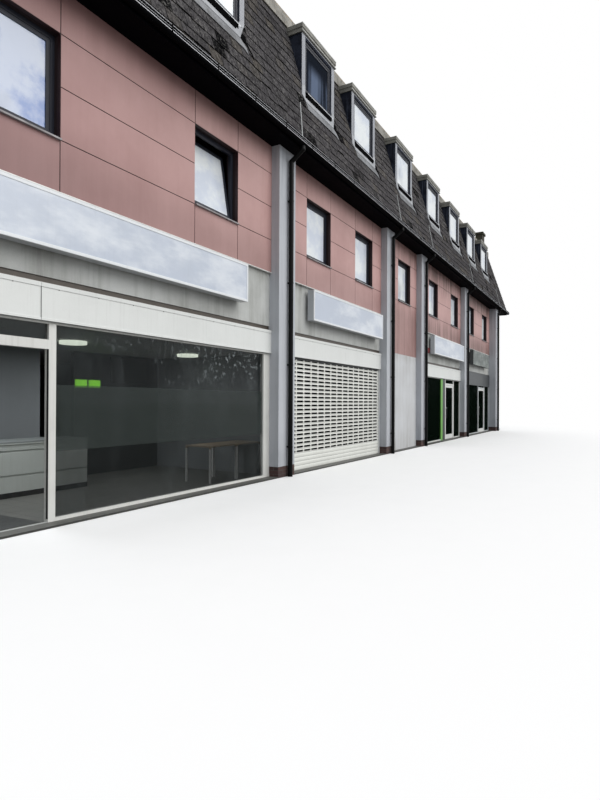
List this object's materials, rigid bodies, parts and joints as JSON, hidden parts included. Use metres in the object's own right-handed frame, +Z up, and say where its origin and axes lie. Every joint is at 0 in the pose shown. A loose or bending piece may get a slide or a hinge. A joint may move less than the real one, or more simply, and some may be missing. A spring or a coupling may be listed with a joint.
{
  "type": "shop parade building with mansard flats",
  "caption": "Parade of shops with flats above: piers and panel cladding, slate mansard with dormers, glazed shopfronts with hinged doors and a perforated roller shutter.",
  "frame": {"origin": "middle of the footprint's bounding box, at pavement level", "axes": "+X along the street to the right as seen from the front, +Y from the street to the rear, +Z up"},
  "size_m": [33.05, 10.18, 11.43],
  "materials": {
    "concrete_floor": "cast concrete",
    "roof_felt": "mineral felt",
    "kerb_flashing": "weathered sheet with lichen",
    "pier_facing": "smooth pale facing",
    "plinth_brick": "dark red brick",
    "plaster": "painted plaster",
    "party_wall_brick": "brick",
    "end_wall_panels": "panel cladding",
    "pale_render": "fine render",
    "rear_wall_panels": "panel cladding",
    "wall_core": "blockwork, dark red in the reveals",
    "cladding_panels": "rain-streaked pink panels",
    "band_concrete": "streaked cast concrete",
    "white_fascia": "satin white",
    "sign_face": "pale acrylic",
    "dark_sign": "satin dark grey",
    "shutter_white": "satin white",
    "guide_white": "satin white",
    "frame_white": "powder coated white",
    "green_shop_frame": "powder coated white",
    "frame_grey": "powder coated dark grey",
    "shop_glass": "clear",
    "door_white": "powder coated white",
    "door_glass": "clear",
    "window_frame_grey": "anthracite",
    "window_glass": "double glazing",
    "sill_metal": "mill finish",
    "slates": "weathered slate with lichen",
    "dormer_cheek": "dark blue-grey sheet",
    "dormer_fascia": "pale painted board",
    "eaves_black": "black",
    "gutter_black": "black",
    "pipe_black": "black",
    "chimney_brick": "mossy dark brick",
    "counter_steel": "grey-white panels",
    "ceiling_tile": "painted board",
    "fittings_white": "white, opal on the lights"
  },
  "bodies": {
    "building": {"ground_slab": "concrete_floor", "first_floor_slab": "concrete_floor", "attic_floor_slab": "concrete_floor", "roof_deck": "roof_felt", "roof_kerb": "kerb_flashing", "front_piers": "pier_facing", "pier_plinths": "plinth_brick", "shop_party_walls": "plaster", "left_party_wall": "party_wall_brick", "right_end_wall": "end_wall_panels", "rendered_walls": "pale_render", "rear_upper_wall": "rear_wall_panels", "front_upper_wall": "wall_core", "front_cladding": "cladding_panels", "concrete_bands": "band_concrete", "fascia_boxes": "white_fascia", "sign_boxes": "sign_face", "dark_shop_signs": "dark_sign", "roller_shutter": "shutter_white", "shutter_guides": "guide_white", "fish_shopfront": "frame_white", "green_shopfront": "green_shop_frame", "dark_shopfront": "frame_grey", "shopfront_glass": "shop_glass", "window_frames": "window_frame_grey", "window_glass": "window_glass", "window_sills": "sill_metal", "mansard_front": "slates", "mansard_rear": "slates", "mansard_end": "slates", "dormer_bodies": "dormer_cheek", "dormer_roofs": "dormer_fascia", "eaves_boards": "eaves_black", "gutters": "gutter_black", "downpipes": "pipe_black", "chimney": "chimney_brick", "shop_counter": "counter_steel", "shop_ceiling": "ceiling_tile", "shop_fittings": "fittings_white"},
    "fish_door": {"fish_shop_door": "door_white", "fish_door_glass": "door_glass"},
    "green_door": {"green_shop_door": "door_white", "green_door_glass": "door_glass"},
    "dark_door": {"dark_shop_door": "door_white", "dark_door_glass": "door_glass"}
  },
  "joints": [
    {"name": "fish_door_hinge", "type": "hinge", "parent": "building", "child": "fish_door", "pos_m": [-14.703, -4.382, 0.025], "axis": [0, 0, 1], "range_deg": [-90, 0]},
    {"name": "green_door_hinge", "type": "hinge", "parent": "building", "child": "green_door", "pos_m": [6.033, -4.382, 0.025], "axis": [0, 0, 1], "range_deg": [-90, 0]},
    {"name": "dark_door_hinge", "type": "hinge", "parent": "building", "child": "dark_door", "pos_m": [12.479, -4.382, 0.025], "axis": [0, 0, 1], "range_deg": [-90, 0]}
  ]
}
